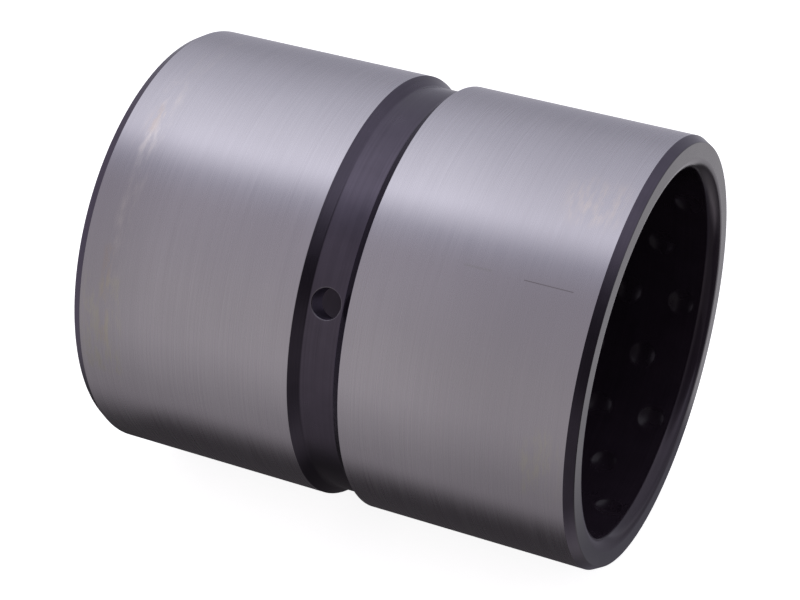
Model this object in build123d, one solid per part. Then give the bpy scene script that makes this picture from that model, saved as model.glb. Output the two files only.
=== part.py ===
from build123d import *

import math
import os

# Hardened pivot-pin bush, in millimetres. The bore axis is +X and +Z is up. The origin is
# the middle of the bore, so the bush lies on its side with its lowest line at Z = -outer_radius.

# Body
outer_diameter = 95.0
bore_diameter = 80.0
length = 115.0
lead_in_length = 2.0  # chamfer at each end of the press-fit seat, along the axis
lead_in_angle = 30.0  # from the axis, in degrees
mouth_round = 3.0  # radius from each end face into the bore

# Grease groove around the middle of the outside
groove_floor_width = 7.7
groove_depth = 2.0
groove_side_angle = 45.0  # from the axis, in degrees

# Grease hole from the groove floor into the bore
hole_diameter = 6.5
hole_edge_break = 0.25
hole_angle = 151.8  # from +Y towards +Z, in degrees

# Round oil pockets in the bore, in rings. Each ring is turned half a step from the next.
pocket_width = 6.0
pocket_depth = 0.8
pockets_per_ring = 9
rings_each_side = 8  # on each side of the ring at the middle
end_ring_x = 50.7  # from the middle of the bush to its last ring
first_pocket_angle = -17.0  # in the end rings, from +Y towards +Z, in degrees
pocket_to_hole_gap = 1.0  # least wall left between a pocket and the grease hole

# Derived sizes
outer_radius = outer_diameter / 2
bore_radius = bore_diameter / 2
half_length = length / 2
lead_in_depth = lead_in_length * math.tan(math.radians(lead_in_angle))
groove_floor_radius = outer_radius - groove_depth
groove_top_width = groove_floor_width + 2 * groove_depth / math.tan(math.radians(groove_side_angle))
pocket_ball_radius = (pocket_width**2 / 4 + pocket_depth**2) / (2 * pocket_depth)
ring_pitch = end_ring_x / rings_each_side
pocket_step = 360 / pockets_per_ring


def outside_outline():
    """Points (x, radius) along the outside of the wall, from the left end face to the right one."""
    right = [
        (groove_floor_width / 2, groove_floor_radius),
        (groove_top_width / 2, outer_radius),
        (half_length - lead_in_length, outer_radius),
        (half_length, outer_radius - lead_in_depth),
    ]
    left = [(-x, radius) for x, radius in reversed(right)]
    return left + right


def mouth_arc(side):
    """Quarter round from the bore out to the end face at side -1 or +1."""
    slant = mouth_round * (1 - math.sqrt(0.5))
    bore_end = (side * (half_length - mouth_round), bore_radius)
    middle = (side * (half_length - slant), bore_radius + slant)
    face_end = (side * half_length, bore_radius + mouth_round)
    return ThreePointArc(bore_end, middle, face_end)


def wall():
    """The bush without its hole and pockets: the wall's section turned about the bore axis."""
    outside = outside_outline()
    left_mouth = mouth_arc(-1)
    right_mouth = mouth_arc(1)
    edges = [
        left_mouth,
        Line(left_mouth @ 1, outside[0]),
        Polyline(*outside),
        Line(outside[-1], right_mouth @ 1),
        right_mouth,
        Line(right_mouth @ 0, left_mouth @ 0),
    ]
    return revolve(make_face(Curve() + edges), Axis.X, 360)


def outward(angle):
    """Unit vector from the bore axis at an angle from +Y towards +Z, in degrees."""
    return Vector(0, math.cos(math.radians(angle)), math.sin(math.radians(angle)))


def grease_hole():
    """Drill shape of the grease hole, flared where it meets the groove floor and the bore."""
    hole_radius = hole_diameter / 2
    wide_radius = hole_radius + hole_edge_break
    drill = Cylinder(hole_radius, outer_radius - bore_radius / 2, align=(Align.CENTER, Align.CENTER, Align.MIN))
    flare = Cone(hole_radius, wide_radius, hole_edge_break)
    at_floor = Pos(0, 0, groove_floor_radius - hole_edge_break / 2)
    at_bore = Pos(0, 0, bore_radius + hole_edge_break / 2) * Rot(180, 0, 0)
    shape = Pos(0, 0, bore_radius / 2) * drill + at_floor * flare + at_bore * flare
    return Plane(origin=(0, 0, 0), z_dir=outward(hole_angle)) * shape


def pocket_places():
    """(x, angle) of every oil pocket, leaving out any that would run into the grease hole."""
    clear = (hole_diameter + pocket_width) / 2 + hole_edge_break + pocket_to_hole_gap
    places = []
    for ring in range(-rings_each_side, rings_each_side + 1):
        x = ring * ring_pitch
        half_turn = (rings_each_side - ring) % 2 * pocket_step / 2
        for count in range(pockets_per_ring):
            angle = first_pocket_angle + half_turn + count * pocket_step
            arc = bore_radius * math.radians((angle - hole_angle + 180) % 360 - 180)
            if math.hypot(x, arc) > clear:
                places.append((x, angle))
    return places


def oil_pockets():
    """Balls that sink into the bore wall by the pocket depth."""
    centre_radius = bore_radius + pocket_depth - pocket_ball_radius
    ball = Sphere(pocket_ball_radius)
    return [Pos(x, 0, 0) * Pos(outward(angle) * centre_radius) * ball for x, angle in pocket_places()]


os.makedirs("parts", exist_ok=True)
bush = wall() - grease_hole() - oil_pockets()
export_step(bush, "parts/bush.step")
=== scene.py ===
import logging
import math
from collections.abc import Iterable, Sequence
from dataclasses import dataclass, field
from enum import Enum

import bpy
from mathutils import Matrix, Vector
from mathutils.geometry import delaunay_2d_cdt


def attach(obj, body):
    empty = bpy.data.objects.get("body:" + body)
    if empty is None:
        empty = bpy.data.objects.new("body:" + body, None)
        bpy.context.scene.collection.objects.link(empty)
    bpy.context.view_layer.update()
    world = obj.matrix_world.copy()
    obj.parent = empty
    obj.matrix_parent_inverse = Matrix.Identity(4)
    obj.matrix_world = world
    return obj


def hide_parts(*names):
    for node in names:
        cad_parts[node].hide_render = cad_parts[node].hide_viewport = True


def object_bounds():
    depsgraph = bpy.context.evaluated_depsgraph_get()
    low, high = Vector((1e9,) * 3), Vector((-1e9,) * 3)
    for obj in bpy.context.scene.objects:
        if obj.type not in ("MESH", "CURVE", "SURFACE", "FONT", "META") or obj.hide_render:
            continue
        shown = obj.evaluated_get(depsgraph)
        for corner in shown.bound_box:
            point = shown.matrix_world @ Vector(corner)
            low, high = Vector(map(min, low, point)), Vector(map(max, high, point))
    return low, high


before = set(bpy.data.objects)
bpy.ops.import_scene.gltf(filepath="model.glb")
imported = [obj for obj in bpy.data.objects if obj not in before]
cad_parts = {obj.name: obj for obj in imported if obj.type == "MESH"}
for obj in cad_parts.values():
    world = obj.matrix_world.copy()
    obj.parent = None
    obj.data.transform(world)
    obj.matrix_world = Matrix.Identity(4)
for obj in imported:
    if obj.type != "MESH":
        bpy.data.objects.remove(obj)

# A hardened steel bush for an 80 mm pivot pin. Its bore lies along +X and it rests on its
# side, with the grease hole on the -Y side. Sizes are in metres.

LOG = logging.getLogger("bush")
CAD_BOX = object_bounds()
ALONG = Vector((1.0, 0.0, 0.0))
OUTER_RADIUS = 0.0475
QUARTER_TURN = 0.25
WHITE = (1.0, 1.0, 1.0, 1.0)
Colour = tuple[float, float, float]
Cells = tuple[float, float, float]
Corners = tuple[tuple[float, float], tuple[float, float]]
Socket = bpy.types.NodeSocket


class Finish(Enum):
    """The surfaces that the bush's skin is divided into, in material slot order."""

    GROUND = 0
    BLACKED = 1
    END_FACE = 2
    BORE = 3
    DRILLED = 4
    POCKET = 5
    WORN_EDGE = 6
    MOUTH = 7


# ---------------------------------------------------------------- steel skin


def outward(angle: float) -> Vector:
    """Give the unit vector away from the bore axis at an angle from +Y towards +Z, in radians."""
    return Vector((0.0, math.cos(angle), math.sin(angle)))


def around(angle: float) -> Vector:
    """Give the unit vector around the bore axis at an angle from +Y towards +Z, in radians."""
    return Vector((0.0, -math.sin(angle), math.cos(angle)))


@dataclass
class SteelSkin:
    """Points, true surface directions and faces of one closed skin, welded as they are added."""

    weld: float = 1e-8
    places: list[Vector] = field(default_factory=list)
    directions: list[Vector] = field(default_factory=list)
    faces: list[tuple[int, ...]] = field(default_factory=list)
    finishes: list[Finish] = field(default_factory=list)
    known: dict[tuple[int, int, int], int] = field(default_factory=dict)

    def point(self, place: Vector, direction: Vector) -> int:
        """Add a point, or find the one that is already there.

        Args:
            place: Where the point is.
            direction: The surface's outward direction there.

        Returns:
            The point's number.
        """
        key = tuple(round(value / self.weld) for value in place)
        if key not in self.known:
            self.known[key] = len(self.places)
            self.places.append(place)
            self.directions.append(direction.normalized())
        return self.known[key]

    def face(self, corners: Iterable[int], finish: Finish) -> None:
        """Add one face.

        Args:
            corners: Its points' numbers, in order around its outward direction.
            finish: The surface it belongs to.
        """
        self.faces.append(tuple(corners))
        self.finishes.append(finish)

    def band(self, lower: Sequence[int], upper: Sequence[int], finish: Finish) -> None:
        """Join two closed rings of equal count with four-sided faces.

        Args:
            lower: The first ring's points.
            upper: The second ring's points, to the outside's right of the first.
            finish: The surface that the band belongs to.
        """
        for i in range(len(lower)):
            j = (i + 1) % len(lower)
            self.face((lower[i], lower[j], upper[j], upper[i]), finish)

    def piece(self, name: str, materials: Sequence[bpy.types.Material]) -> bpy.types.Object:
        """Make the Blender object.

        Args:
            name: The piece's name.
            materials: One material for each finish, in slot order.

        Returns:
            The linked object, shaded by the true surface directions.
        """
        mesh = bpy.data.meshes.new(name)
        mesh.from_pydata([tuple(place) for place in self.places], [], self.faces)
        for material in materials:
            mesh.materials.append(material)
        mesh.polygons.foreach_set("material_index", [finish.value for finish in self.finishes])
        mesh.polygons.foreach_set("use_smooth", [True] * len(self.faces))
        mesh.normals_split_custom_set_from_vertices([tuple(way) for way in self.directions])
        mesh.update()
        made = bpy.data.objects.new(name, mesh)
        bpy.context.scene.collection.objects.link(made)
        return made


@dataclass
class Sheet:
    """A flat layout of a rolled-up wall, filled with triangles between points of the skin."""

    skin: SteelSkin
    spots: list[tuple[float, float]] = field(default_factory=list)
    points: list[int] = field(default_factory=list)
    opening: list[int] = field(default_factory=list)
    edges: list[tuple[int, int]] = field(default_factory=list)
    openings: int = 0
    millimetres: float = 1000.0
    same_spot: float = 1e-6

    def spot(self, x: float, arc: float, point: int, opening: int = -1) -> int:
        """Lay one point of the skin on the sheet.

        Args:
            x: Its place along the bore axis.
            arc: Its arc length around the wall.
            point: Its number in the skin.
            opening: The opening that it borders, or -1 for none.

        Returns:
            Its number on the sheet.
        """
        self.spots.append((x * self.millimetres, arc * self.millimetres))
        self.points.append(point)
        self.opening.append(opening)
        return len(self.spots) - 1

    def cut(self, ring: Sequence[tuple[float, float, int]]) -> None:
        """Lay a closed ring whose inside stays open.

        Args:
            ring: Each point's x, arc length and number in the skin.
        """
        laid = [self.spot(x, arc, point, self.openings) for x, arc, point in ring]
        self.edges += list(zip(laid, laid[1:] + laid[:1]))
        self.openings += 1

    def fill(self, finish: Finish, outside: bool) -> None:
        """Fill the sheet with triangles, all but its openings.

        Args:
            finish: The surface that the triangles belong to.
            outside: True where the wall faces away from the bore axis.
        """
        _, _, triangles, origins, _, _ = delaunay_2d_cdt(
            [Vector(spot) for spot in self.spots], self.edges, [], 0, self.same_spot
        )
        for triangle in triangles:
            first = [origins[corner][0] for corner in triangle]
            inside = {self.opening[corner] for corner in first}
            if len(inside) == 1 and inside != {-1}:
                continue
            corners = [self.points[corner] for corner in first]
            if len(set(corners)) == 3:
                self.skin.face(reversed(corners) if outside else corners, finish)


# ---------------------------------------------------------------- wall section


@dataclass(frozen=True)
class Corner:
    """A corner of the wall's section: its place, rounding and the finish on it and after it."""

    x: float
    radius: float
    rounding: float = 0.0
    steps: int = 1
    edge: Finish = Finish.BLACKED
    side: Finish = Finish.BLACKED
    side_steps: int = 1


@dataclass(frozen=True)
class SectionPoint:
    """A point on the rounded section, its outward direction, and the finish up to the next."""

    x: float
    radius: float
    out_x: float
    out_radius: float
    finish: Finish


def rounded_section(corners: Sequence[Corner]) -> list[SectionPoint]:
    """Round each corner between the first and the last, keeping the solid on the right-hand side.

    Args:
        corners: The section's corners in order. The first and last only give directions.

    Returns:
        Points from the start of the first rounding to the end of the last one.
    """
    found: list[SectionPoint] = []
    for before, corner, after in zip(corners, corners[1:], corners[2:]):
        arriving = Vector((corner.x - before.x, corner.radius - before.radius)).normalized()
        leaving = Vector((after.x - corner.x, after.radius - corner.radius)).normalized()
        turn = math.atan2(arriving.cross(leaving), arriving.dot(leaving))
        bulge = -math.copysign(corner.rounding, turn)
        reach = corner.rounding * math.tan(abs(turn) / 2)
        out = Vector((-arriving.y, arriving.x))
        centre = Vector((corner.x, corner.radius)) - arriving * reach - out * bulge
        if found:
            found += side_points(found[-1], centre + out * bulge, before)
        for step in range(corner.steps + 1):
            angle = turn * step / corner.steps
            way = Vector((
                out.x * math.cos(angle) - out.y * math.sin(angle),
                out.x * math.sin(angle) + out.y * math.cos(angle),
            ))
            place = centre + way * bulge
            finish = corner.edge if step < corner.steps else corner.side
            found.append(SectionPoint(place.x, place.y, way.x, way.y, finish))
    return found


def side_points(start: SectionPoint, end: Vector, corner: Corner) -> list[SectionPoint]:
    """Divide a straight side into its steps.

    Args:
        start: The side's first point.
        end: Its last point, which isn't given back.
        corner: The corner that the side follows.

    Returns:
        The points between the two ends.
    """
    between = []
    for step in range(1, corner.side_steps):
        share = step / corner.side_steps
        x = start.x + (end.x - start.x) * share
        radius = start.radius + (end.y - start.radius) * share
        between.append(SectionPoint(x, radius, start.out_x, start.out_radius, start.finish))
    return between


# ---------------------------------------------------------------- the bush


@dataclass
class OilPocket:
    """A shallow round dent in the bore with a soft rim."""

    width: float = 0.006
    depth: float = 0.0008
    rim_starts: float = 0.0027
    around_count: int = 28
    ring_shares: tuple[float, ...] = (0.97, 0.9, 0.81, 0.66, 0.45, 0.22)

    def ball_radius(self) -> float:
        """Give the radius of the ball that leaves this dent."""
        return (self.width**2 / 4 + self.depth**2) / (2 * self.depth)

    def reach(self) -> float:
        """Give the distance from the middle at which the soft rim meets the bore."""
        depth, slope = self.ball(self.rim_starts)
        return self.rim_starts - 2 * depth / slope

    def ball(self, away: float) -> tuple[float, float]:
        """Follow the dent that the ball alone would leave.

        Args:
            away: Distance from its middle.

        Returns:
            Its depth and slope there.
        """
        ball = self.ball_radius()
        height = math.sqrt(ball**2 - away**2)
        return height - ball + self.depth, -away / height

    def sink(self, away: float) -> tuple[float, float]:
        """Give the depth and slope at a distance from the middle, soft rim included.

        Args:
            away: Distance from the middle, along the bore's wall.

        Returns:
            The depth below the wall and its slope.
        """
        if away <= self.rim_starts:
            return self.ball(away)
        _, slope = self.ball(self.rim_starts)
        left = (self.reach() - away) / (self.reach() - self.rim_starts)
        return -slope * left * (self.reach() - away) / 2, slope * left


@dataclass
class GreaseHole:
    """The drilled hole from the groove's floor into the bore, with rounded edges."""

    radius: float = 0.00325
    edge: float = 0.00025
    angle: float = math.radians(151.8)
    around_count: int = 48
    edge_steps: int = 4
    wall_steps: int = 6

    def place(self, wall: float, across: float, turn: float, sunk: float) -> Vector:
        """Find a point of the hole measured from a wall.

        Args:
            wall: The wall's radius from the bore axis.
            across: Distance from the hole's axis.
            turn: Angle around the hole's axis, from +X.
            sunk: Distance outward from the wall along the hole's axis, less than zero for inward.

        Returns:
            The point.
        """
        side = across * math.sin(turn)
        height = math.sqrt(wall**2 - side**2) + sunk
        sideways = ALONG * (across * math.cos(turn)) + around(self.angle) * side
        return sideways + outward(self.angle) * height

    def direction(
        self, wall: float, across: float, turn: float, lean: float, facing: int
    ) -> Vector:
        """Find the surface's direction on a rounded edge.

        Args:
            wall: The wall's radius from the bore axis.
            across: Distance from the hole's axis.
            turn: Angle around the hole's axis, from +X.
            lean: Zero on the wall and a right angle inside the hole.
            facing: 1 where the wall faces outward and -1 where it faces the bore axis.

        Returns:
            The direction.
        """
        flat = outward(self.angle + math.asin(across * math.sin(turn) / wall)) * facing
        inside = -(ALONG * math.cos(turn) + around(self.angle) * math.sin(turn))
        return flat * math.cos(lean) + inside * math.sin(lean)

    def edge_rings(self, skin: SteelSkin, wall: float, facing: int) -> list[list[int]]:
        """Make the rings of the rounded edge at one wall.

        Args:
            skin: The skin that the rings are added to.
            wall: The wall's radius from the bore axis.
            facing: 1 where the wall faces outward and -1 where it faces the bore axis.

        Returns:
            The rings' points, from the wall to the inside of the hole.
        """
        rings = []
        for step in range(self.edge_steps + 1):
            lean = math.pi / 2 * step / self.edge_steps
            across = self.radius + self.edge * (1 - math.sin(lean))
            sunk = -facing * self.edge * (1 - math.cos(lean))
            rings.append([
                skin.point(
                    self.place(wall, across, turn, sunk),
                    self.direction(wall, across, turn, lean, facing),
                )
                for turn in self.turns()
            ])
        return rings

    def turns(self) -> list[float]:
        """Give the angles of the points around the hole."""
        return [math.tau * count / self.around_count for count in range(self.around_count)]

    def layout(self, wall: float, ring: Sequence[int]) -> list[tuple[float, float, int]]:
        """Lay the hole's outer ring on a wall's sheet.

        Args:
            wall: The wall's radius from the bore axis.
            ring: The ring's points.

        Returns:
            Each point's x, arc length and number in the skin.
        """
        across = self.radius + self.edge
        return [
            (
                across * math.cos(turn),
                wall * (self.angle + math.asin(across * math.sin(turn) / wall)),
                point,
            )
            for turn, point in zip(self.turns(), ring)
        ]


@dataclass
class Bush:
    """The one-piece steel sleeve: its sizes, its skin and its finishes."""

    outer_radius: float = OUTER_RADIUS
    bore_radius: float = 0.040
    half_length: float = 0.0575
    lead_in_length: float = 0.002
    lead_in_angle: float = math.radians(30)
    mouth_round: float = 0.003
    groove_floor_width: float = 0.0077
    groove_depth: float = 0.002
    root_round: float = 0.0007
    land_edge: float = 0.00012
    lead_in_edge: float = 0.0002
    pockets_per_ring: int = 9
    rings_each_side: int = 8
    end_ring_x: float = 0.0507
    first_pocket_angle: float = math.radians(-17)
    pocket_to_hole_gap: float = 0.001
    seam: float = math.radians(-7.5)
    around_count: int = 288
    bore_net_step: float = 0.002
    bore_net_clear: float = 0.35
    bore_net_skips: int = 2
    hole: GreaseHole = field(default_factory=GreaseHole)
    pocket: OilPocket = field(default_factory=OilPocket)
    skin: SteelSkin = field(default_factory=SteelSkin)

    def angles(self) -> list[float]:
        """Give the angles of the points around the bore axis, from the seam."""
        whole = self.around_count
        return [self.seam + math.tau * count / whole for count in range(whole)]

    def end_section(self) -> list[SectionPoint]:
        """Round the right half of the section, from the groove's floor over the end to the bore.

        Returns:
            Its points.
        """
        floor = self.outer_radius - self.groove_depth
        top = self.groove_floor_width / 2 + self.groove_depth
        shoulder = self.outer_radius - self.lead_in_length * math.tan(self.lead_in_angle)
        end = self.half_length
        return rounded_section([
            Corner(0.0, floor),
            Corner(self.groove_floor_width / 2, floor, self.root_round, 6),
            Corner(top, self.outer_radius, self.land_edge, 3, Finish.GROUND, Finish.GROUND, 12),
            Corner(end - self.lead_in_length, self.outer_radius, self.land_edge, 3),
            Corner(end, shoulder, self.lead_in_edge, 4, Finish.END_FACE, Finish.END_FACE, 2),
            Corner(end, self.bore_radius, self.mouth_round, 12, Finish.MOUTH, Finish.BORE),
            Corner(0.0, self.bore_radius),
        ])

    def turned_side(self, side: int) -> None:
        """Turn one half of the section about the bore axis.

        Args:
            side: 1 for the right half and -1 for the left.
        """
        rings = []
        section = self.end_section()
        for spot in section:
            rings.append([
                self.skin.point(
                    ALONG * (side * spot.x) + outward(angle) * spot.radius,
                    ALONG * (side * spot.out_x) + outward(angle) * spot.out_radius,
                )
                for angle in self.angles()
            ])
        for spot, ring, following in zip(section, rings, rings[1:]):
            pair = (ring, following) if side > 0 else (following, ring)
            self.skin.band(*pair, spot.finish)

    def sheet(self, wall: float, reach: float, facing: int, edge_steps: int) -> Sheet:
        """Lay out the border of a rolled-up wall.

        Args:
            wall: The wall's radius from the bore axis.
            reach: How far it goes to each side of the middle.
            facing: 1 where it faces outward and -1 where it faces the bore axis.
            edge_steps: Divisions along its seam.

        Returns:
            The sheet, with its border laid.
        """
        sheet = Sheet(self.skin)
        turns = [(angle, angle) for angle in self.angles()]
        turns.append((self.seam, self.seam + math.tau))
        for side in (-1, 1):
            for at, laid_at in turns:
                place = ALONG * (side * reach) + outward(at) * wall
                point = self.skin.point(place, outward(at) * facing)
                sheet.spot(side * reach, wall * laid_at, point)
        for step in range(1, edge_steps):
            x = reach * (2 * step / edge_steps - 1)
            place = ALONG * x + outward(self.seam) * wall
            point = self.skin.point(place, outward(self.seam) * facing)
            sheet.spot(x, wall * self.seam, point)
            sheet.spot(x, wall * (self.seam + math.tau), point)
        return sheet

    def groove_floor(self) -> list[int]:
        """Make the groove's floor and the grease hole's outer edge.

        Returns:
            The ring under the floor's edge.
        """
        floor = self.outer_radius - self.groove_depth
        rings = self.hole.edge_rings(self.skin, floor, 1)
        sheet = self.sheet(floor, self.end_section()[0].x, 1, 1)
        sheet.cut(self.hole.layout(floor, rings[0]))
        sheet.fill(Finish.BLACKED, True)
        self.hole_bands(rings, Finish.WORN_EDGE)
        return rings[-1]

    def hole_bands(self, rings: Sequence[Sequence[int]], finish: Finish) -> None:
        """Join the grease hole's rings, given from the outside in, with one finish."""
        for upper, lower in zip(rings, rings[1:]):
            self.skin.band(lower, upper, finish)

    def hole_wall(self, outer: Sequence[int], inner: Sequence[int]) -> None:
        """Join the hole's straight wall between its two rounded edges.

        Args:
            outer: The ring under the groove floor's edge.
            inner: The ring under the bore's edge.
        """
        rings = [list(outer)]
        for step in range(1, self.hole.wall_steps):
            share = step / self.hole.wall_steps
            ring = []
            for start, end in zip(outer, inner):
                place = self.skin.places[start].lerp(self.skin.places[end], share)
                ring.append(self.skin.point(place, self.skin.directions[start]))
            rings.append(ring)
        self.hole_bands(rings + [list(inner)], Finish.DRILLED)

    def pocket_places(self) -> list[tuple[float, float]]:
        """Place the oil pockets, leaving out any that would meet the grease hole.

        Returns:
            The x and angle of each.
        """
        hole_reach = self.hole.radius + self.hole.edge
        clear = hole_reach + self.pocket.width / 2 + self.pocket_to_hole_gap
        step = math.tau / self.pockets_per_ring
        places = []
        for ring in range(-self.rings_each_side, self.rings_each_side + 1):
            x = ring * self.end_ring_x / self.rings_each_side
            shift = (self.rings_each_side - ring) % 2 * step / 2
            for count in range(self.pockets_per_ring):
                angle = self.first_pocket_angle + shift + count * step
                away = (angle - self.hole.angle + math.pi) % math.tau - math.pi
                if math.hypot(x, self.bore_radius * away) > clear:
                    places.append((x, (angle - self.seam) % math.tau + self.seam))
        return places

    def pocket_point(
        self, x: float, angle: float, away: float, turn: float
    ) -> tuple[float, float, int]:
        """Make one point of an oil pocket.

        Args:
            x: The pocket's middle along the bore.
            angle: Its middle around the bore.
            away: The point's distance from the middle, along the wall.
            turn: The point's angle around the middle.

        Returns:
            The point's x, its arc length around the bore, and its number in the skin.
        """
        depth, slope = self.pocket.sink(away)
        spot_x = x + away * math.cos(turn)
        arc = self.bore_radius * angle + away * math.sin(turn)
        at = arc / self.bore_radius
        radius = self.bore_radius + depth
        lean = around(at) * (math.sin(turn) * self.bore_radius / radius) + ALONG * math.cos(turn)
        direction = lean * slope - outward(at)
        return spot_x, arc, self.skin.point(ALONG * spot_x + outward(at) * radius, direction)

    def oil_pocket(self, x: float, angle: float, sheet: Sheet) -> None:
        """Make one oil pocket and cut its rim out of the bore's sheet.

        Args:
            x: The pocket's middle along the bore.
            angle: Its middle around the bore.
            sheet: The bore's sheet.
        """
        whole = self.pocket.around_count
        turns = [math.tau * count / whole for count in range(whole)]
        reach = self.pocket.reach()
        rim = [self.pocket_point(x, angle, reach, turn) for turn in turns]
        sheet.cut(rim)
        ring = [point for _, _, point in rim]
        for share in self.pocket.ring_shares:
            inner = [self.pocket_point(x, angle, reach * share, turn)[2] for turn in turns]
            self.skin.band(ring, inner, Finish.POCKET)
            ring = inner
        middle = self.pocket_point(x, angle, 0.0, 0.0)[2]
        for count in range(len(ring)):
            self.skin.face((ring[count], ring[(count + 1) % len(ring)], middle), Finish.POCKET)

    def bore_net(self, sheet: Sheet, reach: float) -> None:
        """Lay an even net of points on the bore's sheet, clear of pockets, hole and borders.

        Args:
            sheet: The bore's sheet.
            reach: How far the bore's wall goes to each side of the middle.
        """
        radius = self.bore_radius
        keep_out = [(x, angle, self.pocket.reach()) for x, angle in self.pocket_places()]
        keep_out.append((0.0, self.hole.angle, self.hole.radius + self.hole.edge))
        rows = round(2 * reach / self.bore_net_step)
        for angle in self.angles()[:: self.bore_net_skips][1:]:
            near = [
                (at, radius * (angle - turn), size)
                for at, turn, size in keep_out
                if radius * abs(turn - angle) < size + self.bore_net_step
            ]
            for row in range(1, rows):
                x = reach * (2 * row / rows - 1)
                gaps = [math.hypot(x - at, arc) - size for at, arc, size in near]
                if min(gaps, default=reach) > self.bore_net_step * self.bore_net_clear:
                    point = self.skin.point(ALONG * x + outward(angle) * radius, -outward(angle))
                    sheet.spot(x, radius * angle, point)

    def bore(self) -> list[int]:
        """Make the bore with its oil pockets and the grease hole's inner edge.

        Returns:
            The ring under the bore's edge.
        """
        reach = self.half_length - self.mouth_round
        rings = self.hole.edge_rings(self.skin, self.bore_radius, -1)
        sheet = self.sheet(self.bore_radius, reach, -1, round(2 * reach / self.bore_net_step))
        sheet.cut(self.hole.layout(self.bore_radius, rings[0]))
        for x, angle in self.pocket_places():
            self.oil_pocket(x, angle, sheet)
        self.bore_net(sheet, reach)
        sheet.fill(Finish.BORE, False)
        self.hole_bands(rings[::-1], Finish.DRILLED)
        return rings[-1]

    def build(self) -> bpy.types.Object:
        """Make the whole skin, dress it, hide the CAD node and hang the skin on the root body.

        Returns:
            The finished piece.
        """
        for side in (1, -1):
            self.turned_side(side)
        outer_ring = self.groove_floor()
        inner_ring = self.bore()
        self.hole_wall(outer_ring, inner_ring)
        made = self.skin.piece("bush_skin", self.dress())
        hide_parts("bush")
        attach(made, "root")
        return made

    def dress(self) -> list[bpy.types.Material]:
        """Make the bush's materials.

        Returns:
            One for each finish, in slot order.
        """
        near_black = (0.040, 0.029, 0.042)
        makers = {
            Finish.GROUND: GroundSteel(),
            Finish.BLACKED: BlackOxide("black_oxide"),
            Finish.END_FACE: BlackOxide("turned_end_face", (0.072, 0.069, 0.074), 0.20),
            Finish.BORE: BlackOxide("black_bore", near_black, 0.22, metal=0.4),
            Finish.DRILLED: BlackOxide("drilled_wall", (0.21, 0.18, 0.25), 0.60),
            Finish.POCKET: BlackOxide(
                "black_pockets", (0.025, 0.018, 0.026), 0.27, metal=0.0, gloss=0.25
            ),
            Finish.WORN_EDGE: BlackOxide("worn_edge", (0.18, 0.168, 0.19), 0.26),
            Finish.MOUTH: BlackOxide("black_mouth", near_black, 0.15, metal=0.4),
        }
        return [makers[finish].material() for finish in Finish]


# ---------------------------------------------------------------- finishes


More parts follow.
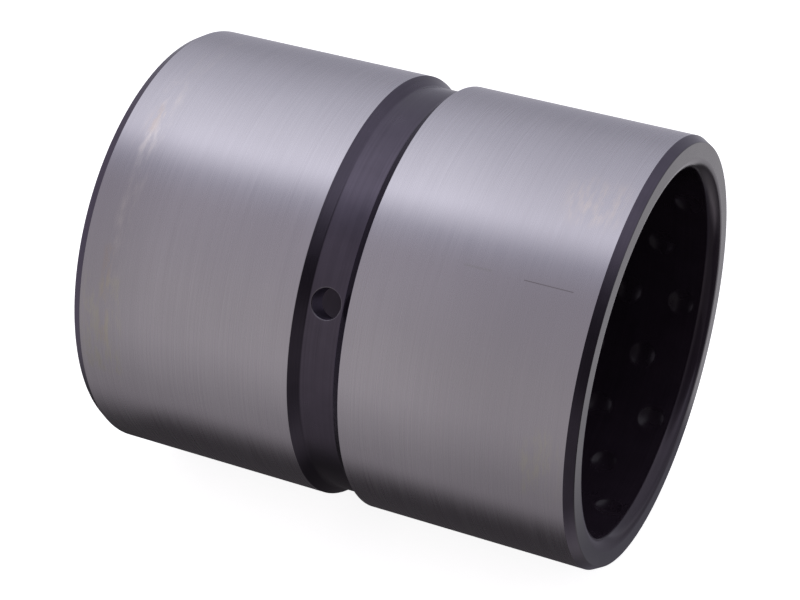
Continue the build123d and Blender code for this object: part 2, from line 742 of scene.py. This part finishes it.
class NodeBench:
    """Short ways to add and join the nodes of one tree."""

    def __init__(self, tree: bpy.types.NodeTree) -> None:
        """Take a tree to work on."""
        self.nodes = tree.nodes
        self.links = tree.links

    def join(self, source: Socket, target: Socket) -> None:
        """Join two sockets."""
        self.links.new(source, target)

    def math(self, kind: str, *values: float | Socket) -> Socket:
        """Work out a number from others.

        Args:
            kind: The Math node's operation.
            values: Its inputs, as numbers or sockets.

        Returns:
            The result's socket.
        """
        node = self.nodes.new("ShaderNodeMath")
        node.operation = kind
        for socket, value in zip(node.inputs, values):
            if isinstance(value, Socket):
                self.join(value, socket)
            else:
                socket.default_value = value
        return node.outputs[0]

    def split(self, place: Socket) -> tuple[Socket, ...]:
        """Split a place.

        Args:
            place: The place's socket.

        Returns:
            The sockets of its X, Y and Z.
        """
        node = self.nodes.new("ShaderNodeSeparateXYZ")
        self.join(place, node.inputs[0])
        return tuple(node.outputs)

    def map_range(self, value: Socket, kind: str, *limits: float) -> Socket:
        """Carry a value from one range to another.

        Args:
            value: The value.
            kind: The Map Range node's interpolation.
            limits: Both ends of the first range, then of the second.

        Returns:
            The result's socket.
        """
        node = self.nodes.new("ShaderNodeMapRange")
        node.interpolation_type = kind
        for name, limit in zip(("From Min", "From Max", "To Min", "To Max"), limits):
            node.inputs[name].default_value = limit
        self.join(value, node.inputs["Value"])
        return node.outputs["Result"]

    def between(self, value: Socket, low: float, high: float) -> Socket:
        """Rise softly from 0 to 1 as a value goes from low to high."""
        return self.map_range(value, "SMOOTHSTEP", low, high, 0.0, 1.0)

    def spread(
        self, value: Socket, low: float, high: float, span: tuple[float, float] = (0.3, 0.7)
    ) -> Socket:
        """Stretch a value evenly from its span, which is noise's usual one, to low and high."""
        return self.map_range(value, "LINEAR", *span, low, high)

    def window(self, *sides: tuple[Socket, float, float, float, float]) -> Socket:
        """Cover a patch with soft borders.

        Args:
            sides: For each of two directions, the place, its low and high ends, and the
                widths of the borders inside them.

        Returns:
            The cover's socket, from 0 outside to 1 inside.
        """
        covers = []
        for place, low, high, low_border, high_border in sides:
            rising = self.between(place, low, low + low_border)
            falling = self.between(place, high, high - high_border)
            covers.append(self.math("MULTIPLY", rising, falling))
        return self.math("MULTIPLY", *covers)

    def ramp(self, value: Socket, stops: Sequence[tuple[float, Colour]]) -> Socket:
        """Turn a value into a colour.

        Args:
            value: A number from 0 to 1.
            stops: Places on the ramp and their colours, in rising order.

        Returns:
            The colour's socket.
        """
        node = self.nodes.new("ShaderNodeValToRGB")
        self.join(value, node.inputs["Fac"])
        elements = node.color_ramp.elements
        elements.remove(elements[-1])
        for count, (place, colour) in enumerate(stops):
            stop = elements[0] if count == 0 else elements.new(place)
            stop.position = place
            stop.color = (*colour, 1.0)
        return node.outputs["Color"]

    def blend(self, share: Socket, first: Colour | Socket, second: Colour | Socket) -> Socket:
        """Blend two colours.

        Args:
            share: How much of the second.
            first: The colour at share 0.
            second: The colour at share 1.

        Returns:
            The blended colour's socket.
        """
        node = self.nodes.new("ShaderNodeMix")
        node.data_type = "RGBA"
        # A Mix node has a set of sockets for each kind of data. Colour's are 6, 7 and 2.
        self.join(share, node.inputs[0])
        for socket, colour in ((node.inputs[6], first), (node.inputs[7], second)):
            if isinstance(colour, Socket):
                self.join(colour, socket)
            else:
                socket.default_value = (*colour, 1.0)
        return node.outputs[2]


class ShaderBench(NodeBench):
    """A new material on the bench, with one Principled shader."""

    def __init__(self, name: str) -> None:
        """Start the material.

        Args:
            name: Its name.
        """
        self.material = bpy.data.materials.new(name)
        self.material.use_nodes = True
        super().__init__(self.material.node_tree)
        self.steel = self.nodes["Principled BSDF"]
        self.place = self.nodes.new("ShaderNodeTexCoord").outputs["Object"]

    def noise(self, cells: Cells, detail: float = 3.0, rough: float = 0.5) -> Socket:
        """Add noise over the piece.

        Args:
            cells: Cells in a metre along X, Y and Z.
            detail: How many finer layers it has.
            rough: How strong those layers are.

        Returns:
            The noise's socket, about 0.5 on average.
        """
        mapping = self.nodes.new("ShaderNodeMapping")
        mapping.inputs["Scale"].default_value = cells
        self.join(self.place, mapping.inputs["Vector"])
        node = self.nodes.new("ShaderNodeTexNoise")
        node.inputs["Scale"].default_value = 1.0
        node.inputs["Detail"].default_value = detail
        node.inputs["Roughness"].default_value = rough
        self.join(mapping.outputs["Vector"], node.inputs["Vector"])
        return node.outputs["Fac"]

    def bump(self, height: Socket, depth: float) -> None:
        """Raise the shader's surface.

        Args:
            height: How raised each place is, from 0 to 1.
            depth: What 1 stands for, in metres.
        """
        node = self.nodes.new("ShaderNodeBump")
        node.inputs["Distance"].default_value = depth
        self.join(height, node.inputs["Height"])
        self.join(node.outputs["Normal"], self.steel.inputs["Normal"])

    def grain_around(self, amount: float) -> None:
        """Brush the steel around the bore axis: light spreads along X.

        Args:
            amount: How one-sided the spread is, from 0 to 1.
        """
        tangent = self.nodes.new("ShaderNodeTangent")
        tangent.direction_type = "RADIAL"
        tangent.axis = "X"
        self.join(tangent.outputs["Tangent"], self.steel.inputs["Tangent"])
        self.steel.inputs["Anisotropic"].default_value = amount
        self.steel.inputs["Anisotropic Rotation"].default_value = QUARTER_TURN

    def outside(self) -> tuple[Socket, Socket]:
        """Measure each place on the outside.

        Returns:
            Its X, and its arc length from +Y towards +Z.
        """
        x, y, z = self.split(self.place)
        arc = self.math("MULTIPLY", self.math("ARCTAN2", z, y), OUTER_RADIUS)
        # Angles past the seam at 180 degrees count on from it.
        past_seam = self.math("LESS_THAN", arc, 0.0)
        whole_turn = self.math("MULTIPLY", past_seam, math.tau * OUTER_RADIUS)
        return x, self.math("ADD", arc, whole_turn)


@dataclass(frozen=True)
class Mark:
    """A mark on the outside: its span along X and around the axis, its soft border and its tone."""

    along: tuple[float, float]
    around: tuple[float, float]
    border: float
    tone: Colour
    strength: float
    patchy: float = 0.0
    patch_cells: Cells = (700.0, 160.0, 160.0)
    patch_starts: float = 0.42

    def cover(self, bench: ShaderBench, x: Socket, arc: Socket) -> Socket:
        """Work out how much of the steel the mark covers.

        Args:
            bench: The material's bench.
            x: Place along the bore axis.
            arc: Arc length around the outside, from +Y towards +Z.

        Returns:
            The cover's socket, from 0 to the mark's strength.
        """
        borders = (self.border, self.border)
        whole = bench.window((x, *self.along, *borders), (arc, *self.around, *borders))
        if self.patchy:
            low, high = self.patch_starts, self.patch_starts + self.patchy
            blots = bench.noise(self.patch_cells, detail=4.0, rough=0.65)
            patch = bench.between(blots, low, high)
            whole = bench.math("MULTIPLY", whole, patch)
        return bench.math("MULTIPLY", whole, self.strength)


def arc_span(low: float, high: float) -> tuple[float, float]:
    """Turn two angles in degrees into arc lengths around the outside."""
    return math.radians(low) * OUTER_RADIUS, math.radians(high) * OUTER_RADIUS


@dataclass(frozen=True)
class GroundSteel:
    """Cylindrically ground steel: fine lines around the axis, stains, a scratch and painted shade
    at the ends.
    """

    light: Colour = (0.60, 0.585, 0.61)
    dark: Colour = (0.49, 0.475, 0.50)
    roughness: float = 0.27
    roughness_less: float = 0.03
    roughness_more: float = 0.04
    fine_pitch: float = 0.00012
    coarse_pitch: float = 0.0006
    fine_around: float = 30.0
    coarse_around: float = 18.0
    cloud_cells: Cells = (45.0, 60.0, 60.0)
    fine_share: float = 0.45
    coarse_share: float = 0.3
    cloud_share: float = 0.25
    line_depth: float = 0.000002
    grain: float = 0.6
    # Painted shade first, the lands darker towards both ends; then stains at the left end and the
    # right one, then a rub and a scratch.
    marks: tuple[Mark, ...] = (
        # The next two marks are painted shade: they darken the lands towards their ends, where the
        # reflections fall off.
        Mark((-0.1000, -0.0360), arc_span(105, 190), 0.0180, (0.40, 0.385, 0.41), 0.60),
        Mark((0.0100, 0.1000), arc_span(72, 215), 0.0350, (0.40, 0.385, 0.41), 0.50),
        Mark((-0.0505, -0.0450), arc_span(72, 192), 0.0010, (0.63, 0.605, 0.59), 0.50, 0.40),
        Mark((-0.0495, -0.0480), arc_span(88, 180), 0.0006, (0.65, 0.62, 0.60), 0.30, 0.30),
        Mark((-0.0530, -0.0445), arc_span(98, 128), 0.0040, (0.70, 0.65, 0.62), 0.60, 0.30),
        Mark((-0.0515, -0.0475), arc_span(110, 121), 0.0020, (0.50, 0.42, 0.37), 0.45, 0.20),
        Mark((-0.0515, -0.0480), arc_span(150, 178), 0.0015, (0.50, 0.42, 0.35), 0.50, 0.20),
        Mark((-0.0560, -0.0445), arc_span(158, 188), 0.0020, (0.53, 0.52, 0.43), 0.60, 0.25),
        Mark((0.0400, 0.0560), arc_span(100, 119), 0.0050, (0.60, 0.54, 0.50), 0.60, 0.25),
        Mark((0.0440, 0.0560), arc_span(166, 190), 0.0040, (0.53, 0.52, 0.44), 0.60, 0.25),
        Mark((0.0270, 0.0335), arc_span(133.2, 134.3), 0.0005, (0.40, 0.40, 0.37), 0.35),
        Mark((0.0400, 0.0506), arc_span(133.75, 134.15), 0.00016, (0.19, 0.17, 0.17), 0.70),
    )

    def material(self) -> bpy.types.Material:
        """Make the material.

        Returns:
            Ground steel with fine and coarse lines and its marks.
        """
        bench = ShaderBench("ground_steel")
        fine_cells = (1 / self.fine_pitch, self.fine_around, self.fine_around)
        fine = bench.noise(fine_cells, detail=2.0, rough=0.6)
        coarse_cells = (1 / self.coarse_pitch, self.coarse_around, self.coarse_around)
        coarse = bench.noise(coarse_cells, detail=3.0, rough=0.6)
        cloud = bench.noise(self.cloud_cells, detail=3.0, rough=0.55)
        lines = bench.math(
            "ADD",
            bench.spread(fine, 0.0, self.fine_share),
            bench.spread(coarse, 0.0, self.coarse_share),
        )
        tone = bench.math("ADD", lines, bench.spread(cloud, 0.0, self.cloud_share))
        colour = bench.blend(tone, self.dark, self.light)
        x, arc = bench.outside()
        for mark in self.marks:
            colour = bench.blend(mark.cover(bench, x, arc), colour, mark.tone)
        bench.join(colour, bench.steel.inputs["Base Color"])
        smoothest = self.roughness - self.roughness_less
        rough = bench.spread(coarse, smoothest, self.roughness + self.roughness_more)
        bench.join(rough, bench.steel.inputs["Roughness"])
        bench.steel.inputs["Metallic"].default_value = 1.0
        bench.grain_around(self.grain)
        bench.bump(fine, self.line_depth)
        return bench.material


@dataclass(frozen=True)
class BlackOxide:
    """Blackened steel with a violet cast and faint turning lines.

    Its metal share and gloss are the shader's own, from 0 to 1.
    """

    name: str
    tone: Colour = (0.100, 0.088, 0.112)
    roughness: float = 0.25
    metal: float = 1.0
    gloss: float = 0.5
    pitch: float = 0.0004
    lines_around: float = 20.0
    cloud_cells: Cells = (120.0, 120.0, 120.0)
    contrast: float = 0.18
    roughness_change: float = 0.04
    grit_depth: float = 0.000004

    def material(self) -> bpy.types.Material:
        """Make the material.

        Returns:
            Dark steel, a little cloudy, with faint lines around the axis.
        """
        bench = ShaderBench(self.name)
        cloud = bench.noise(self.cloud_cells, detail=4.0, rough=0.6)
        line_cells = (1 / self.pitch, self.lines_around, self.lines_around)
        lines = bench.noise(line_cells, detail=2.0, rough=0.6)
        mixed = bench.math("ADD", bench.spread(cloud, 0.0, 0.5), bench.spread(lines, 0.0, 0.5))
        dark, light = (
            tuple(value * strength for value in self.tone)
            for strength in (1 - self.contrast, 1 + self.contrast)
        )
        bench.join(bench.blend(mixed, dark, light), bench.steel.inputs["Base Color"])
        least = self.roughness - self.roughness_change
        most = self.roughness + self.roughness_change
        bench.join(bench.spread(cloud, least, most), bench.steel.inputs["Roughness"])
        bench.steel.inputs["Metallic"].default_value = self.metal
        bench.steel.inputs["Specular IOR Level"].default_value = self.gloss
        bench.bump(mixed, self.grit_depth)
        return bench.material


# ---------------------------------------------------------------- studio


@dataclass(frozen=True)
class ShadeCard:
    """The bush's shadow on the floor: its corners, tone, and soft borders as shares of its size."""

    name: str
    corners: Corners
    tone: Colour
    border_x: tuple[float, float]
    border_y: tuple[float, float]


@dataclass
class Studio:
    """Pale floor, soft light all round and the camera."""

    azimuth: float = math.radians(24.972)
    elevation: float = math.radians(33.788)
    distance: float = 0.51369
    lens: float = 104.65
    shift: tuple[float, float] = (-0.01194, -0.00964)
    sensor: float = 36.0
    nearest: float = 0.01
    floor_half: float = 3.0
    floor_tone: Colour = (0.79, 0.79, 0.76)
    floor_light: Colour = (0.81, 0.81, 0.78)
    floor_glow: float = 0.88
    floor_cells: Cells = (9.0, 9.0, 9.0)
    floor_roughness: float = 0.9
    # Light by direction around the bore axis, in degrees from +Y towards +Z: the light from
    # the left, from the right, and from the far right, where it is dark underneath.
    left_sky: tuple[tuple[float, Colour], ...] = (
        (-160.0, (0.48, 0.45, 0.475)),
        (-125.0, (0.31, 0.29, 0.31)),
        (-112.0, (0.30, 0.277, 0.30)),
        (-95.0, (0.13, 0.12, 0.13)),
        (-84.0, (0.06, 0.055, 0.06)),
        (-44.0, (0.03, 0.028, 0.03)),
        (-40.0, (0.66, 0.64, 0.68)),
        (-31.0, (0.90, 0.87, 0.92)),
        (-20.0, (0.50, 0.49, 0.55)),
        (-8.0, (0.40, 0.395, 0.46)),
        (10.0, (0.42, 0.415, 0.48)),
        (48.0, (0.72, 0.715, 0.81)),
        (84.0, (1.08, 1.07, 1.19)),
        (93.0, (1.21, 1.20, 1.34)),
        (110.0, (0.51, 0.50, 0.59)),
        (124.0, (0.45, 0.42, 0.475)),
        (176.0, (0.48, 0.45, 0.475)),
    )
    right_sky: tuple[tuple[float, Colour], ...] = (
        (-172.0, (0.19, 0.175, 0.19)),
        (-156.0, (0.20, 0.187, 0.20)),
        (-112.0, (0.21, 0.197, 0.21)),
        (-87.0, (0.98, 0.93, 0.98)),
        (-70.0, (0.45, 0.423, 0.45)),
        (-56.0, (0.22, 0.207, 0.228)),
        (-50.0, (0.12, 0.113, 0.125)),
        (-45.5, (0.12, 0.113, 0.125)),
        (-41.5, (0.68, 0.66, 0.70)),
        (-30.0, (0.68, 0.66, 0.70)),
        (-20.0, (0.50, 0.49, 0.55)),
        (10.0, (0.42, 0.415, 0.48)),
        (48.0, (0.70, 0.695, 0.79)),
        (84.0, (0.72, 0.71, 0.80)),
        (101.0, (0.30, 0.29, 0.33)),
        (118.0, (0.13, 0.12, 0.14)),
        (140.0, (0.07, 0.063, 0.075)),
        (171.0, (0.10, 0.09, 0.10)),
    )
    far_right_sky: tuple[tuple[float, Colour], ...] = (
        (-172.0, (0.19, 0.175, 0.19)),
        (-140.0, (0.20, 0.187, 0.20)),
        (-120.0, (0.08, 0.073, 0.083)),
        (-40.0, (0.08, 0.073, 0.083)),
        (-10.0, (0.42, 0.415, 0.48)),
        (10.0, (0.42, 0.415, 0.48)),
        (48.0, (0.70, 0.695, 0.79)),
        (84.0, (0.72, 0.71, 0.80)),
        (101.0, (0.30, 0.29, 0.33)),
        (118.0, (0.13, 0.12, 0.14)),
        (140.0, (0.07, 0.063, 0.075)),
        (171.0, (0.10, 0.09, 0.10)),
    )
    # Where one light turns into the next, by how far a direction leans along +X.
    turn_to_right: tuple[float, float] = (-0.2, 0.6)
    right_end: tuple[float, float] = (0.60, 0.76)
    left_end: tuple[float, float] = (-0.95, -0.6)
    left_end_sky: Colour = (0.50, 0.46, 0.56)
    card_gap: float = 0.0001
    shades: tuple[ShadeCard, ...] = (
        ShadeCard(
            "under_shade",
            corners=((-0.062, -0.065), (0.060, 0.052)),
            tone=(0.05, 0.045, 0.05),
            border_x=(0.08, 0.08),
            border_y=(0.22, 0.1),
        ),
        ShadeCard(
            "end_shade",
            corners=((0.050, -0.040), (0.084, 0.060)),
            tone=(0.20, 0.19, 0.23),
            border_x=(0.08, 0.6),
            border_y=(0.3, 0.25),
        ),
    )

    def back(self) -> Vector:
        """Give the unit vector from the bush to the camera."""
        flat = math.cos(self.elevation)
        return Vector((
            math.sin(self.azimuth) * flat,
            -math.cos(self.azimuth) * flat,
            math.sin(self.elevation),
        ))

    def camera(self) -> None:
        """Place the camera and make it the scene's own."""
        data = bpy.data.cameras.new("camera")
        data.lens = self.lens
        data.sensor_width = self.sensor
        data.shift_x, data.shift_y = self.shift
        data.clip_start = self.nearest
        made = bpy.data.objects.new("camera", data)
        made.location = self.back() * self.distance
        made.rotation_euler = self.back().to_track_quat("Z", "Y").to_euler()
        bpy.context.scene.collection.objects.link(made)
        bpy.context.scene.camera = made

    def lay(
        self, name: str, corners: Corners, lift: float, material: bpy.types.Material
    ) -> bpy.types.Object:
        """Lay a flat sheet under the bush.

        Args:
            name: The sheet's name.
            corners: X and Y of its near left and far right corners.
            lift: How far above the bush's lowest line it lies.
            material: Its material.

        Returns:
            The linked sheet, hidden from soft bounced light.
        """
        low = CAD_BOX[0][2] + lift
        (left, front), (right, back) = corners
        places = [(left, front, low), (right, front, low), (right, back, low), (left, back, low)]
        mesh = bpy.data.meshes.new(name)
        mesh.from_pydata(places, [], [(0, 1, 2, 3)])
        mesh.materials.append(material)
        made = bpy.data.objects.new(name, mesh)
        made.visible_diffuse = False
        bpy.context.scene.collection.objects.link(made)
        return made

    def floor(self) -> None:
        """Lay the pale floor, which reflections don't see."""
        bench = ShaderBench("pale_floor")
        shade = bench.blend(bench.noise(self.floor_cells), self.floor_tone, self.floor_light)
        bench.join(shade, bench.steel.inputs["Base Color"])
        bench.steel.inputs["Roughness"].default_value = self.floor_roughness
        bench.steel.inputs["Emission Color"].default_value = WHITE
        bench.steel.inputs["Emission Strength"].default_value = self.floor_glow
        half = self.floor_half
        made = self.lay("floor", ((-half, -half), (half, half)), 0.0, bench.material)
        made.visible_glossy = False

    def shade_material(self, card: ShadeCard) -> bpy.types.Material:
        """Make a shade card's material.

        Args:
            card: The card.

        Returns:
            Its tone in the middle, fading to clear at the borders.
        """
        material = bpy.data.materials.new(card.name)
        material.use_nodes = True
        bench = NodeBench(material.node_tree)
        bench.nodes.remove(bench.nodes["Principled BSDF"])
        x, y, _ = bench.split(bench.nodes.new("ShaderNodeTexCoord").outputs["Generated"])
        cover = bench.window((x, 0.0, 1.0, *card.border_x), (y, 0.0, 1.0, *card.border_y))
        clear = bench.nodes.new("ShaderNodeBsdfTransparent")
        dark = bench.nodes.new("ShaderNodeEmission")
        dark.inputs["Color"].default_value = (*card.tone, 1.0)
        mix = bench.nodes.new("ShaderNodeMixShader")
        for source, socket in zip((cover, clear.outputs[0], dark.outputs[0]), mix.inputs):
            bench.join(source, socket)
        bench.join(mix.outputs[0], bench.nodes["Material Output"].inputs["Surface"])
        return material

    def shade(self, card: ShadeCard, lift: float) -> None:
        """Lay a shadow for reflections alone, as they don't see the floor.

        Args:
            card: The shadow.
            lift: How far above the floor it lies.
        """
        made = self.lay(card.name, card.corners, lift, self.shade_material(card))
        made.visible_camera = False
        made.visible_shadow = False

    def light(self) -> None:
        """Set the soft light all round, which changes with direction and has no lamp in it."""
        world = bpy.data.worlds.new("studio")
        world.use_nodes = True
        bpy.context.scene.world = world
        bench = NodeBench(world.node_tree)
        x, y, z = bench.split(bench.nodes.new("ShaderNodeTexCoord").outputs["Generated"])
        turn = bench.spread(bench.math("ARCTAN2", z, y), 0.0, 1.0, (-math.pi, math.pi))
        left, right, far_right = (
            bench.ramp(turn, [((degrees + 180) / 360, colour) for degrees, colour in sky])
            for sky in (self.left_sky, self.right_sky, self.far_right_sky)
        )
        shine = bench.nodes["Background"]
        along = bench.blend(bench.between(x, *self.turn_to_right), left, right)
        along = bench.blend(bench.between(x, *self.right_end), along, far_right)
        whole = bench.blend(bench.between(x, *self.left_end), self.left_end_sky, along)
        bench.join(whole, shine.inputs["Color"])

    def set_up(self) -> None:
        """Lay the floor, set the light and place the camera."""
        bpy.context.scene.view_settings.view_transform = "Standard"
        self.floor()
        for count, card in enumerate(self.shades, 1):
            self.shade(card, count * self.card_gap)
        self.light()
        self.camera()


def main() -> None:
    """Build the bush and the studio."""
    logging.basicConfig(level=logging.INFO, format="%(name)s: %(message)s")
    made = Bush().build()
    counts = len(made.data.vertices), len(made.data.polygons)
    LOG.info("%s: %d points, %d faces", made.name, *counts)
    Studio().set_up()


if __name__ == "__main__":
    main()
